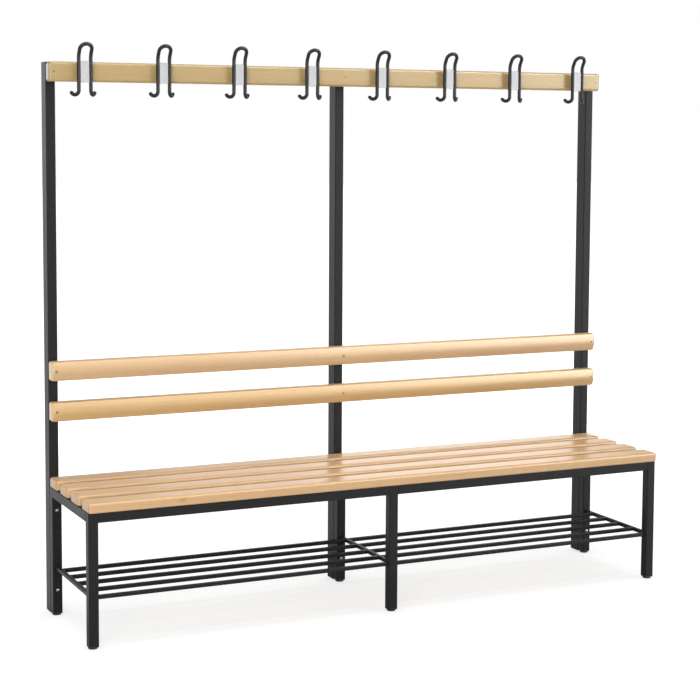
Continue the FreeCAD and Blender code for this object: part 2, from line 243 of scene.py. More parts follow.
def place(name, description, default):
    """A place in the row frame."""
    return FloatVectorProperty(name=name, description=description, default=default, size=3,
                               subtype="TRANSLATION", unit="LENGTH")


def size(name, description, default):
    """A width and a height."""
    return FloatVectorProperty(name=name, description=description, default=default, size=2, min=0.0,
                               subtype="XYZ_LENGTH", unit="LENGTH")


def power(name, description, default):
    """A lamp's power in watts."""
    return FloatProperty(name=name, description=description, default=default, min=0.0, unit="POWER")


def brightness(name, description, default):
    """A strength of light, or a gain of one."""
    return FloatProperty(name=name, description=description, default=default, min=0.0)


def ratio(name, description, default):
    """One part of a direction, or two parts or lengths divided."""
    return FloatProperty(name=name, description=description, default=default)


def degrees(name, description, default):
    """An angle, given in degrees."""
    return FloatProperty(name=name, description=description, default=math.radians(default),
                         subtype="ANGLE", unit="ROTATION")


class BenchFinishes(PropertyGroup):
    """Colours and gloss of the finishes."""

    beech_pale: colour("Pale beech", "Colour of the light streaks in the beech", (0.790, 0.525, 0.285))
    beech_warm: colour("Warm beech", "Colour of the darker streaks in the beech", (0.670, 0.415, 0.205))
    beech_fleck: colour("Beech fleck", "Colour of the short ray flecks in the beech", (0.430, 0.245, 0.115))
    beech_knot: colour("Pin knot", "Colour of the two small knots in the front slat", (0.360, 0.185, 0.080))
    beech_end: colour("Beech end", "Colour that the boards' ends are mixed with", (0.690, 0.500, 0.315))
    beech_gloss: share("Beech roughness", "Roughness of the lacquer on the beech", 0.31)
    coat: colour("Powder coat", "Colour of the frame's powder coat", (0.0118, 0.0119, 0.0124))
    coat_gloss: share("Powder coat roughness", "Roughness of the frame's powder coat", 0.42)
    hook: colour("Hook coat", "Colour of the hooks' coating", (0.0120, 0.0125, 0.0135))
    hook_gloss: share("Hook roughness", "Roughness of the hooks' coating", 0.40)
    holder: colour("Hook holder", "Colour of the moulded hook holders", (0.665, 0.670, 0.690))
    holder_gloss: share("Holder roughness", "Least roughness of the hook holders", 0.26)
    zinc: colour("Zinc", "Colour of the plated bolts, washers, nuts and pan heads", (0.215, 0.218, 0.223))
    zinc_gloss: share("Zinc roughness", "Least roughness of the zinc", 0.27)
    screw: colour("Dark screw", "Colour of the rail screws", (0.185, 0.145, 0.100))
    screw_gloss: share("Dark screw roughness", "Least roughness of the rail screws", 0.30)
    plastic: colour("Black plastic", "Colour of the glides, inserts and caps", (0.0110, 0.0112, 0.0116))
    plastic_gloss: share("Black plastic roughness", "Least roughness of the black plastic", 0.44)


class BenchHardware(PropertyGroup):
    """Sizes of the fasteners, glides, caps and welds."""

    recess_reach: length("Recess reach", "Half length of the cross recess in a screw's head", 0.0026)
    recess_width: length("Recess width", "Width of an arm of the cross recess", 0.0012)
    recess_depth: length("Recess depth", "Depth of the cross recess", 0.0018)
    head_edge: length("Head edge", "Small chamfer at the rim of a screw's or bolt's head", 0.00025)
    pan_height: length("Pan height", "Height of a pan head", 0.0035)
    pan_round: length("Pan rounding", "Rounding of a pan head's rim", 0.0014)
    pan_crown: length("Pan crown", "How much a pan head rises in its middle", 0.0004)
    screw_shank: length("Screw shank", "Radius of the screws' shanks", 0.0025)
    screw_tip: length("Screw tip", "Length of the screws' points", 0.004)
    bolt_shank: length("Bolt shank", "Radius of the bolts' shanks", 0.003)
    bolt_dome: length("Bolt dome", "Height of the bolts' dome heads", 0.0035)
    bolt_pitch: length("Bolt pitch", "Pitch of the bolts' threads", 0.001)
    thread_depth: length("Thread depth", "Depth of the bolts' and glides' threads", 0.0006)
    bolt_thread: length("Bolt thread", "Length of the thread that is cut at a bolt's end", 0.005)
    glide_stem: length("Glide stem", "Radius of the glides' stems", 0.004)
    glide_pitch: length("Glide pitch", "Pitch of the glides' threads", 0.00125)
    nut_chamfer: length("Nut chamfer", "Height of the chamfer at a nut's corners", 0.0011)
    glide_disc: length("Glide height", "Height of a glide's disc", 0.006)
    glide_round: length("Glide rounding", "Rounding of a glide's lower rim", 0.0025)
    glide_shoulder: length("Glide shoulder", "Rounding of a glide's upper rim", 0.0008)
    glide_notch: length("Glide notch", "Depth of the grip notches in a glide's rim", 0.0005)
    glide_notches: IntProperty(name="Glide notches", description="Grip notches round a glide",
                               default=20, min=3)
    cap_plate: length("Cap plate", "Thickness of the plates of the uprights' caps", 0.002)
    cap_round: length("Cap rounding", "Rounding of the caps' outer edges", 0.0012)
    cap_corner: length("Cap corner", "Corner radius of the caps", 0.003)
    cap_neck: length("Cap neck", "How far a cap's skirt is set back from its edge", 0.0021)
    cap_skirt: length("Cap skirt", "Length of a cap's skirt inside the tube", 0.012)
    weld: length("Weld", "Leg of the fillet welds between the tubes of the seat", 0.0026)
    rack_weld: length("Rack weld", "Leg of the fillet welds at the rack's bars", 0.0016)
    weld_ripple: length("Weld ripple", "Spacing of the ripples along a weld", 0.0017)


class BenchStage(PropertyGroup):
    """Camera and light."""

    camera_place: place("Camera", "Place of the camera", (-2.34969, -4.87803, 1.48870))
    camera_yaw: degrees("Yaw", "Turn of the camera from the bench's depth towards its right", 25.2835)
    camera_pitch: degrees("Pitch", "Upward tilt of the camera", -4.9304)
    camera_roll: degrees("Roll", "Roll of the camera", 0.3039)
    camera_lens: FloatProperty(name="Lens", description="Focal length in millimetres",
                               default=87.3548, min=1.0)
    camera_rise: ratio("Shift", "Vertical shift of the frame", -0.10)
    fill_place: place("Fill light", "Place of the soft box in front, to the left", (-3.5, -4.5, 1.1))
    fill_size: size("Fill size", "Width and height of the soft box to the left", (2.0, 2.0))
    fill_power: power("Fill power", "Power of the soft box to the left", 145.0)
    top_place: place("Top light", "Place of the panel overhead", (0.3, -0.4, 9.0))
    top_size: size("Top size", "Width and depth of the panel overhead", (10.0, 5.0))
    top_power: power("Top power", "Power of the panel overhead", 405.0)
    back_place: place("Back light", "Place of the wide panel behind, for the seat's sheen", (2.4, 4.6, 1.5))
    back_size: size("Back size", "Width and height of the wide panel behind", (3.0, 2.2))
    back_power: power("Back power", "Power of the wide panel behind", 15.0)
    glow_place: place("Glow light", "Place of the narrow panel before the wide one", (2.75, 4.5, 1.5))
    glow_size: size("Glow size", "Width and height of the narrow panel", (1.6, 2.2))
    glow_power: power("Glow power", "Power of the narrow panel", 8.4)
    aim: place("Aim", "Where the lights point", (0.35, 0.0, 0.55))
    bright_wall: brightness("Bright wall", "Strength of the bright wall in front, to the right", 3.8)
    bright_wall_start: ratio("Wall start", "Slant of a direction where that wall starts", 0.29)
    bright_wall_full: ratio("Wall full", "Slant where that wall has its full strength", 0.56)
    bright_end: brightness("Bright end", "Strength of that wall's brightest end, far to the right", 10.5)
    bright_end_start: ratio("End start", "Slant where the brightest end starts", 0.54)
    bright_end_full: ratio("End full", "Slant where it has its full strength", 0.70)
    bright_foot: ratio("Bright foot", "Rise of a direction below which the room in front isn't bright", -0.03)
    bright_depth: ratio("Bright depth", "Depth of a direction up to which the room in front is bright", -0.60)
    gleam: brightness("Gleam", "Strength that the room in front gains high up", 2.4)
    gleam_low: share("Gleam foot", "Rise where that gain starts", 0.05)
    gleam_high: share("Gleam sill", "Rise where that gain is full", 0.35)
    ambient: brightness("Room light", "Strength of the even light of the room", 0.44)
    sweep: brightness("Sweep", "Strength of the white sweep behind in reflections", 1.5)
    sweep_left: brightness("Left sweep", "Gain of the white sweep far to the left in reflections", 1.3)
    sweep_side: share("Sweep side", "Sideways part of a direction where that gain is full", 0.55)
    ceiling: share("Ceiling", "Strength of the room above the sweep in reflections", 0.12)
    front_room: share("Front room", "Strength of the room behind the camera in reflections", 0.36)
    room_front: ratio("Room front", "Depth of a direction where the front room ends", -0.30)
    room_back: ratio("Room back", "Depth of a direction where the white sweep is full", 0.30)
    sweep_low: share("Sweep edge", "Rise at which the reflected white sweep starts to fade", 0.05)
    sweep_high: share("Sweep fade", "Rise at which the reflected white sweep has faded into the room", 0.25)
    floor_side: length("Floor", "Side of the floor", 80.0)
    floor_tone: share("Floor tone", "How much light the floor returns", 0.55)
    floor_lift: share("Floor lift", "White that the floor shows near the bench on top of its light", 0.64)
    floor_near: length("Near floor", "Distance from the bench up to which shadows show", 1.1)
    floor_far: length("Far floor", "Distance from the bench from which the floor is plain white", 3.0)
    floor_gloss: share("Floor gloss", "Share of that white in reflections", 1.0)
    shine: brightness("Floor shine", "Strength of the bright floor in front in reflections", 4.8)
    shine_start: length("Shine start", "Distance in front of the bench where the bright floor starts", 1.9)
    shine_full: length("Shine full", "Distance in front where the bright floor has its full strength", 4.6)
    shine_fade: length("Shine fade", "Distance in front where the bright floor starts to fade", 5.6)
    shine_far: length("Shine far", "Distance in front where the bright floor has faded", 10.0)
    shine_far_share: share("Far shine", "Share of the bright floor's strength that stays far away", 0.12)
    shine_left: ratio("Shine left", "Slant of a place where the bright floor starts", 0.10)
    shine_right: ratio("Shine right", "Slant where the bright floor is full", 0.75)
    under_far: length("Under the bench", "Half length of the floor that is dark in reflections", 0.95)
    under_fade: length("Fade", "Length over which that dark floor turns white", 0.25)
    under_stretch_share: ratio("Depth share", "Length of that dark floor over its depth", 2.2)


# Surface helpers
def turned(profile, spokes):
    """A turned surface: a profile of radius and height, carried round Z with one column for each spoke."""
    angle = np.linspace(0, FULL_TURN, spokes, endpoint=False)
    radius, height = profile[:, :1], profile[:, 1:]
    return np.stack((radius * np.cos(angle), radius * np.sin(angle), height + 0 * angle), axis=-1)


def rim(centre_radius, centre_height, radius, start, end):
    """Part of a circle in a profile: points of radius and height between two angles from the outward side."""
    angle = np.linspace(start, end, ROUND_ROWS)
    return np.column_stack((centre_radius + radius * np.cos(angle), centre_height + radius * np.sin(angle)))


def stood(points, direction, places):
    """Copies of a surface, turned to a direction and moved to each of the places."""
    return (points @ direction.T)[None] + np.asarray(places, float)[:, None, None, :]


def quads(count, rows, columns, closed_rows):
    """Corner numbers of all four-sided faces of some equal grids whose columns run round."""
    row = np.arange(rows if closed_rows else rows - 1)[:, None]
    column = np.arange(columns)[None, :]
    after = (column + 1) % columns
    below = (row + 1) % rows
    corners = (row * columns + column, row * columns + after,
               below * columns + after, below * columns + column)
    face = np.stack(np.broadcast_arrays(*corners), axis=-1).reshape(-1, 4)
    start = np.arange(count)[:, None, None] * rows * columns
    return (face[None] + start).reshape(-1, 4)


def piece(name, shells, material, body, replaced=(), closed_rows=False):
    """A piece from stacks of surface grids: seams and poles are merged, and faces are turned outwards."""
    points = []
    faces = []
    start = 0
    for shell in shells:
        count, rows, columns, _ = shell.shape
        points.append(shell.reshape(-1, 3))
        faces.append(quads(count, rows, columns, closed_rows) + start)
        start += count * rows * columns
    mesh = bpy.data.meshes.new(name)
    mesh.from_pydata(np.concatenate(points).tolist(), [], np.concatenate(faces).tolist())
    work = bmesh.new()
    work.from_mesh(mesh)
    bmesh.ops.remove_doubles(work, verts=work.verts, dist=MERGE_DISTANCE)
    bmesh.ops.recalc_face_normals(work, faces=work.faces)
    work.to_mesh(mesh)
    work.free()
    mesh.shade_smooth()
    mesh.set_sharp_from_angle(angle=SHARP_ANGLE)
    mesh.materials.append(material)
    made = bpy.data.objects.new(name, mesh)
    bpy.context.scene.collection.objects.link(made)
    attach(made, body)
    if replaced:
        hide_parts(*replaced)


def dress(names, material):
    """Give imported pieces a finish."""
    for name in names:
        mesh = nodes[name].data
        mesh.materials.clear()
        mesh.materials.append(material)


def finish_named(name):
    """A finish that was drawn before."""
    material = bpy.data.materials.get(name)
    if material is None:
        raise RuntimeError(f"the finish {name} has not been drawn yet")
    return material


def new_finish(name):
    """A new material and its node tree."""
    material = bpy.data.materials.new(name)
    return material, Finish(material)


# Finishes: a pattern has waves per metre along X, Y and Z, octaves and the roughness of the octaves
def even(waves):
    """The same number of waves along X, Y and Z."""
    return (waves, waves, waves)


# Beech: painted shade, shares by which the hook rail and the backrest rails are drawn darker than the rest,
# in red, green and blue, for the light that falls on them; their wood is the same
BOARD_PAINTED_SHADE_SHARES = {"hook_rail": (0.68, 0.745, 0.61), "backrest_rail_lower": (0.92, 0.95, 0.84),
                     "backrest_rail_upper": (0.95, 0.98, 1)}

# Beech: the same for the boards' ends, and for those of the slats: painted shade that darkens the hook rail's
# end against the sheen it reflects and the slats' ends, and painted light that brightens the backrest rails'
# ends
END_LIGHT_AND_SHADE_SHARES = {"hook_rail": (0.22, 0.25, 0.30), "backrest_rail_lower": (1.1, 1.15, 1.2),
                   "backrest_rail_upper": (1.1, 1.15, 1.2)}
SLAT_END_SHADE_SHARES = (0.68, 0.565, 0.39)

# Beech: refraction of the lacquer on the rails, and of the thinner one on the seat
RAIL_IOR = 1.55
SEAT_IOR = 1.40

# Beech: its patterns, and how far those of one board lie from the next one's
BEECH_STREAKS = ((0.55, 22.0, 22.0), 3.0, 0.55)
BEECH_LINES = ((2.2, 150.0, 150.0), 2.0, 0.6)
BEECH_CLOUDS = ((2.0, 4.0, 4.0), 2.0, 0.5)
BEECH_FLECKS = ((75.0, 620.0, 620.0), 1.0, 0.5)
BEECH_PORES = ((120.0, 2100.0, 2100.0), 1.0, 0.5)
BOARD_SHIFT = (3.1, 1.7, 0.9)

# Beech: values between which a pattern goes from none to full
STREAK_RANGE = (0.28, 0.72)
LINE_RANGE = (0.32, 0.68)
CLOUD_RANGE = (0.30, 0.70)
FLECK_RANGE = (0.62, 0.74)

# Beech: shares of the patterns in the colour
STREAK_SHARE = 0.42
LINE_SHARE = 0.30
RING_SHARE = 0.14
CLOUD_SHARE = 0.14
FLECK_SHARE = 0.34
PORE_SHARE = 0.10
KNOT_SHARE = 0.42
END_SHARE = 0.75

# Beech: shares of the patterns in the relief, and its strength and depth
PORE_HEIGHT_SHARE = 0.5
LINE_HEIGHT_SHARE = 0.35
FLECK_HEIGHT_SHARE = 0.6
RING_HEIGHT_SHARE = 0.2
BEECH_RELIEF = (0.10, 0.0002)

# Beech: what is taken off the roughness, and what streaks and flecks give back
BEECH_GLOSS_DROP = 0.03
BEECH_GLOSS_SWING = 0.04

# Beech: the rings' wave, and the steps by which their middle line lies behind and below a board's middle
RING_STRETCH = (0.035, 1.0, 1.0)
RING_WAVE = {"Scale": 78.0, "Distortion": 3.4, "Detail": 2.0, "Detail Scale": 0.5, "Detail Roughness": 0.55}
HEART_BEHIND = 0.035
HEART_BEHIND_STEP = 0.011
HEART_BEHIND_STEPS = 4
HEART_BELOW = 0.060
HEART_BELOW_STEP = 0.013
HEART_BELOW_STEPS = 3

# Beech: pin knots of the front slat, with their core, their edge and how they are drawn out along it
FRONT_KNOT_FROM_END = 0.284
FRONT_KNOT_FROM_TOP = 0.013
TOP_KNOT_FROM_END = 0.300
TOP_KNOT_FROM_FRONT = 0.0258
KNOT_CORE = 0.0010
KNOT_EDGE = 0.0095
KNOT_STRETCH = (0.5, 1, 1)

# Beech: distances from a board's end where the end's colour starts and is full
END_START = 0.0030
END_FULL = 0.0006


def knot_places(board):
    """Where a board has its two pin knots: one on its front and one on its top."""
    low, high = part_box(board)
    return ((low.x + FRONT_KNOT_FROM_END, low.y, high.z - FRONT_KNOT_FROM_TOP),
            (low.x + TOP_KNOT_FROM_END, low.y + TOP_KNOT_FROM_FRONT, high.z))


def ring_waves(finish, board, seed):
    """Growth rings: saw waves of the distance from a line along X beside the board, bent by noise.

    The ends show them as arcs.
    """
    centre = middle(board)
    behind = HEART_BEHIND + HEART_BEHIND_STEP * (seed % HEART_BEHIND_STEPS)
    below = HEART_BELOW + HEART_BELOW_STEP * (seed % HEART_BELOW_STEPS)
    line = finish.place((0, -centre.y - behind, below - centre.z), RING_STRETCH)
    settings = {"wave_type": "RINGS", "rings_direction": "X", "wave_profile": "SAW"}
    return finish.node("ShaderNodeTexWave", settings, {"Vector": line, **RING_WAVE})


def beech(name, board, seed, look):
    """Lacquered beech for one board.

    Streaks and lines are noise that is stretched along the board. Ray flecks are short dashes where a fine
    stretched noise is high. Pores are a finer noise in the colour and the relief. The hook rail and the
    backrest rails are drawn darker by shares of painted shade. The ends have a colour of their own, the end
    grain's, with painted shade on the hook rail's and the slats' ends and painted light on the backrest
    rails' ends, and the front slat has two knots that fade with the distance from their middles.
    """
    material, finish = new_finish(name)
    shift = np.multiply(BOARD_SHIFT, seed)
    streaks = finish.noise(*BEECH_STREAKS, shift)
    lines = finish.noise(*BEECH_LINES, shift)
    clouds = finish.noise(*BEECH_CLOUDS, shift)
    rings = ring_waves(finish, board, seed)
    flecks = finish.step(finish.noise(*BEECH_FLECKS, shift), *FLECK_RANGE)
    pores = finish.noise(*BEECH_PORES, shift)
    tone = (finish.step(streaks, *STREAK_RANGE) * STREAK_SHARE + finish.step(lines, *LINE_RANGE) * LINE_SHARE
            + rings * RING_SHARE + finish.step(clouds, *CLOUD_RANGE) * CLOUD_SHARE)
    # Painted shade: the board's share darkens its wood
    tint = BOARD_PAINTED_SHADE_SHARES.get(board, ONES)
    pale = opaque(np.multiply(look.beech_pale, tint))
    warm = opaque(np.multiply(look.beech_warm, tint))
    wood = finish.blend(tone, pale, warm)
    wood = finish.blend(flecks * FLECK_SHARE, wood, opaque(look.beech_fleck))
    wood = finish.blend((1 - pores) * PORE_SHARE, wood, opaque(look.beech_fleck))
    if board == SLATS[0]:
        for spot in knot_places(board):
            near = finish.place(-np.multiply(spot, KNOT_STRETCH), KNOT_STRETCH)
            knot = 1 - finish.step(finish.distance(near, ORIGIN), KNOT_CORE, KNOT_EDGE)
            wood = finish.blend(knot * KNOT_SHARE, wood, opaque(look.beech_knot))
    along = finish.axis(finish.place(), "X")
    reach = finish.node("ShaderNodeMath", {"operation": "ABSOLUTE"}, {0: along})
    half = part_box(board)[1].x
    # The end grain's colour with the board's share of painted light on the backrest rails and painted shade
    # on the others
    end = opaque(np.multiply(look.beech_end, END_LIGHT_AND_SHADE_SHARES.get(board, SLAT_END_SHADE_SHARES)))
    wood = finish.blend(finish.step(reach, half - END_START, half - END_FULL) * END_SHARE, wood, end)
    roughness = look.beech_gloss - BEECH_GLOSS_DROP + streaks * BEECH_GLOSS_SWING + flecks * BEECH_GLOSS_SWING
    height = (pores * PORE_HEIGHT_SHARE + lines * LINE_HEIGHT_SHARE - flecks * FLECK_HEIGHT_SHARE
              + rings * RING_HEIGHT_SHARE)
    lacquer = SEAT_IOR if board in SLATS else RAIL_IOR
    finish.surface(Base_Color=wood, Roughness=roughness, IOR=lacquer,
                   Normal=finish.relief(height, *BEECH_RELIEF))
    return material


# Powder coat: patterns, shares of its colour, roughness, specular level, and the relief's strength and depth
COAT_PEEL = (even(620.0), 2.0, 0.55)
COAT_GRAIN = (even(2600.0), 1.0, 0.5)
COAT_CLOUD = (even(7.0), 3.0, 0.6)
COAT_CLOUD_SHARE = 0.6
COAT_TINT_SHARES = (0.82, 1.18)
COAT_GLOSS_DROP = 0.06
COAT_GLOSS_CLOUD = 0.08
COAT_GLOSS_PEEL = 0.05
COAT_SPECULAR = 0.115
COAT_GRAIN_HEIGHT_SHARE = 0.35
COAT_RELIEF = (0.14, 0.0004)


def powder_coat(look):
    """Fine orange peel in the relief, with a little cloudiness in the colour and the gloss."""
    material, finish = new_finish("powder_coat_finish")
    peel = finish.noise(*COAT_PEEL)
    grain = finish.noise(*COAT_GRAIN)
    cloud = finish.noise(*COAT_CLOUD)
    mixed = cloud * COAT_CLOUD_SHARE + grain * (1 - COAT_CLOUD_SHARE)
    tint = finish.tinted(mixed, look.coat, COAT_TINT_SHARES)
    roughness = look.coat_gloss - COAT_GLOSS_DROP + cloud * COAT_GLOSS_CLOUD + peel * COAT_GLOSS_PEEL
    finish.surface(Base_Color=tint, Roughness=roughness, Specular_IOR_Level=COAT_SPECULAR,
                   Normal=finish.relief(peel + grain * COAT_GRAIN_HEIGHT_SHARE, *COAT_RELIEF))
    return material


# Hook coat: the same kinds of values
HOOK_PEEL = (even(850.0), 2.0, 0.5)
HOOK_CLOUD = (even(60.0), 3.0, 0.6)
HOOK_TINT_SHARES = (0.8, 1.3)
HOOK_GLOSS_DROP = 0.05
HOOK_GLOSS_CLOUD = 0.10
HOOK_SPECULAR = 0.22
HOOK_RELIEF = (0.10, 0.0003)


def hook_coat(look):
    """A smooth satin coat that is a little worn and dusty in patches."""
    material, finish = new_finish("hook_coat_finish")
    peel = finish.noise(*HOOK_PEEL)
    cloud = finish.noise(*HOOK_CLOUD)
    tint = finish.tinted(cloud, look.hook, HOOK_TINT_SHARES)
    roughness = look.hook_gloss - HOOK_GLOSS_DROP + cloud * HOOK_GLOSS_CLOUD
    finish.surface(Base_Color=tint, Roughness=roughness, Specular_IOR_Level=HOOK_SPECULAR,
                   Normal=finish.relief(peel, *HOOK_RELIEF))
    return material


# Holder plastic: the same kinds of values
HOLDER_GRAIN = (even(1500.0), 2.0, 0.6)
HOLDER_CLOUD = (even(35.0), 2.0, 0.5)
HOLDER_CLOUD_SHARE = 0.7
HOLDER_TINT_SHARES = (0.95, 1.04)
HOLDER_GLOSS_GRAIN = 0.10
HOLDER_RELIEF = (0.16, 0.0003)


def holder_plastic(look):
    """Moulded plastic with a fine eroded grain."""
    material, finish = new_finish("holder_plastic_finish")
    grain = finish.noise(*HOLDER_GRAIN)
    cloud = finish.noise(*HOLDER_CLOUD)
    mixed = cloud * HOLDER_CLOUD_SHARE + grain * (1 - HOLDER_CLOUD_SHARE)
    finish.surface(Base_Color=finish.tinted(mixed, look.holder, HOLDER_TINT_SHARES),
                   Roughness=look.holder_gloss + grain * HOLDER_GLOSS_GRAIN,
                   Normal=finish.relief(grain, *HOLDER_RELIEF))
    return material


# Black plastic: the same kinds of values
PLASTIC_GRAIN = (even(1300.0), 2.0, 0.6)
PLASTIC_CLOUD = (even(80.0), 2.0, 0.5)
PLASTIC_TINT_SHARES = (0.8, 1.25)
PLASTIC_GLOSS_GRAIN = 0.14
PLASTIC_SPECULAR = 0.35
PLASTIC_RELIEF = (0.2, 0.0003)


def black_plastic(look):
    """Hard black plastic with a fine grain."""
    material, finish = new_finish("black_plastic_finish")
    grain = finish.noise(*PLASTIC_GRAIN)
    cloud = finish.noise(*PLASTIC_CLOUD)
    finish.surface(Base_Color=finish.tinted(cloud, look.plastic, PLASTIC_TINT_SHARES),
                   Roughness=look.plastic_gloss + grain * PLASTIC_GLOSS_GRAIN,
                   Specular_IOR_Level=PLASTIC_SPECULAR, Normal=finish.relief(grain, *PLASTIC_RELIEF))
    return material


# Zinc: the spangle's cells per metre, and the same kinds of values
ZINC_SPANGLE = 900.0
ZINC_CLOUD = (even(220.0), 3.0, 0.6)
ZINC_PATCH_SHARE = 0.5
ZINC_TINT_SHARES = (0.86, 1.08)
ZINC_GLOSS_CLOUD = 0.12
ZINC_GLOSS_PATCH = 0.04
ZINC_RELIEF = (0.08, 0.0002)


def zinc_plate(look):
    """Bright zinc with a faint spangle from cells and a fine cloudy noise."""
    material, finish = new_finish("zinc_finish")
    cells = {"Vector": finish.place(), "Scale": ZINC_SPANGLE}
    spangle = finish.node("ShaderNodeTexVoronoi", {}, cells, "Color")
    patch = finish.axis(spangle, "X")
    cloud = finish.noise(*ZINC_CLOUD)
    mixed = patch * ZINC_PATCH_SHARE + cloud * (1 - ZINC_PATCH_SHARE)
    finish.surface(Base_Color=finish.tinted(mixed, look.zinc, ZINC_TINT_SHARES), Metallic=1.0,
                   Roughness=look.zinc_gloss + cloud * ZINC_GLOSS_CLOUD + patch * ZINC_GLOSS_PATCH,
                   Normal=finish.relief(cloud, *ZINC_RELIEF))
    return material


# Dark screws: the same kinds of values
SCREW_CLOUD = (even(700.0), 3.0, 0.6)
SCREW_TINT_SHARES = (0.7, 1.35)
SCREW_GLOSS_CLOUD = 0.12
SCREW_RELIEF = (0.1, 0.0002)


def dark_screw(look):
    """Bronzed steel, paler where the finish is thin."""
    material, finish = new_finish("dark_screw_finish")
    cloud = finish.noise(*SCREW_CLOUD)
    finish.surface(Base_Color=finish.tinted(cloud, look.screw, SCREW_TINT_SHARES), Metallic=1.0,
                   Roughness=look.screw_gloss + cloud * SCREW_GLOSS_CLOUD,
                   Normal=finish.relief(cloud, *SCREW_RELIEF))
    return material


# Pieces
# Width of a recess wall's slope, as a share of the arm's width
RECESS_WALL_SHARE = 1 / 6

# Radius where a nut's chamfer meets its face, as a share of half its width
NUT_FACE_SHARE = 0.97

# Radii of a glide's hollow and the hollow's edge over the glide's, and of its boss over the stem's
GLIDE_HOLLOW_SHARE = 0.55
GLIDE_HOLLOW_EDGE_SHARE = 0.62
GLIDE_BOSS_SHARE = 1.5

# How much of a weld's leg is its ripple, its flattening and its root behind the corner
RIPPLE_SHARE = 0.12
BEAD_FLAT_SHARE = 0.1
BEAD_ROOT_SHARE = 0.1


def cross_recess(points, hardware):
    """Depth of a cross recess at each point of a head: full in the middle, sloping out along four arms.

    An arm follows the larger of the two distances from the middle, and its wall follows the smaller one.
    """
    along = np.maximum(np.abs(points[..., 0]), np.abs(points[..., 1]))
    across = np.minimum(np.abs(points[..., 0]), np.abs(points[..., 1]))
    slope = np.clip(1 - along / hardware.recess_reach, 0, 1)
    wall_width = hardware.recess_width * RECESS_WALL_SHARE
    wall = np.clip((hardware.recess_width / 2 - across) / wall_width + 1, 0, 1)
    return hardware.recess_depth * np.sqrt(slope) * wall


def screw(crown, rim_profile, shank, total, hardware):
    """A screw that points down Z with its head's top at Z = 0: a turned profile less the cross recess.

    The head rises by the crown towards its middle, with the square of the radius.
    """
    top = np.column_stack((np.linspace(0, rim_profile[0, 0], HEAD_ROWS),
                           np.full(HEAD_ROWS, rim_profile[0, 1])))
    top[:, 1] += crown * (1 - (top[:, 0] / rim_profile[0, 0]) ** 2)
    tip = total - hardware.screw_tip
    profile = np.concatenate((top, rim_profile[1:], ((shank, -tip), (0, -total))))
    points = turned(profile, SCREW_SPOKES)
    points[:HEAD_ROWS, :, 2] -= cross_recess(points[:HEAD_ROWS], hardware)
    return points


def countersunk_screw(radius, total, hardware):
    """A countersunk screw: a flat top, a small chamfer and a cone down to the shank."""
    edge = hardware.head_edge
    neck = radius - hardware.screw_shank
    rim_profile = np.array(((radius - edge, 0), (radius, -edge), (hardware.screw_shank, -neck - edge)))
    return screw(0, rim_profile, hardware.screw_shank, total, hardware)


def pan_screw(radius, total, hardware):
    """A pan-head screw: a slightly crowned top, a rounded rim and a flat seat."""
    low = -hardware.pan_height
    bend = rim(radius - hardware.pan_round, -hardware.pan_crown - hardware.pan_round, hardware.pan_round,
               QUARTER_TURN, 0)
    seat = np.array(((radius, low), (hardware.screw_shank, low)))
    return screw(hardware.pan_crown, np.concatenate((bend, seat)), hardware.screw_shank, total, hardware)


def thread(start, end, radius, pitch, depth, spokes):
    """A thread: the radius less a triangle wave of the height in pitches minus the angle in turns.

    It runs down Z from a start to an end, and fades out at both.
    """
    rows = max(2, round((start - end) / pitch * THREAD_ROWS_PER_TURN))
    height = np.linspace(start, end, rows)[:, None]
    angle = np.linspace(0, FULL_TURN, spokes, endpoint=False)[None, :]
    phase = (height / pitch - angle / FULL_TURN) % 1
    fade = np.clip(np.minimum(start - height, height - end) / pitch, 0, 1)
    deep = depth * fade * (1 - np.abs(2 * phase - 1))
    reach = radius - deep
    return np.stack((reach * np.cos(angle), reach * np.sin(angle), height + 0 * angle), axis=-1)


def dome_bolt(radius, total, hardware):
    """A dome-head bolt that points down Z with its crown at Z = 0, and a thread at its end."""
    dome = hardware.bolt_dome - hardware.head_edge
    sphere = (radius ** 2 + dome ** 2) / (2 * dome)
    reach = radius * np.sin(np.linspace(0, QUARTER_TURN, HEAD_ROWS))
    crown = np.column_stack((reach, np.sqrt(sphere ** 2 - reach ** 2) - sphere))
    seat = ((radius, -hardware.bolt_dome), (hardware.bolt_shank, -hardware.bolt_dome))
    head = turned(np.concatenate((crown, seat)), BOLT_SPOKES)
    end = -total + hardware.thread_depth
    shank = thread(end + hardware.bolt_thread, end, hardware.bolt_shank, hardware.bolt_pitch,
                   hardware.thread_depth, BOLT_SPOKES)
    tip = turned(np.array(((hardware.bolt_shank - hardware.thread_depth, -total), (0, -total))), BOLT_SPOKES)
    return np.concatenate((head, shank, tip))


def hexagon_nut(corner, bore, height, hardware):
    """A hexagon nut on Z = 0: its radius is the hexagon's, or a cone's where that cuts the corners.

    The hexagon's radius is its half width over the cosine of the angle from the nearest flat's middle.
    """
    angle = np.linspace(0, FULL_TURN, NUT_SPOKES, endpoint=False)
    sixth = FULL_TURN / 6
    flat = corner * math.cos(sixth / 2)
    hexagon = flat / np.cos((angle % sixth) - sixth / 2)
    cut = hardware.nut_chamfer
    levels = np.concatenate((np.linspace(0, cut, ROUND_ROWS), np.linspace(height - cut, height, ROUND_ROWS)))
    from_face = np.minimum(levels, height - levels)[:, None]
    face = flat * NUT_FACE_SHARE
    cone = face + (corner - face) * from_face / cut
    outside = np.minimum(hexagon[None, :], cone)
    entry = bore + hardware.thread_depth
    inside_levels = np.array((height, height - hardware.thread_depth, hardware.thread_depth, 0))
    inside = np.array((entry, bore, bore, entry))[:, None] + 0 * angle[None, :]
    reach = np.concatenate((outside, inside))
    level = np.concatenate((levels, inside_levels))[:, None]
    return np.stack((reach * np.cos(angle), reach * np.sin(angle), level + 0 * angle), axis=-1)


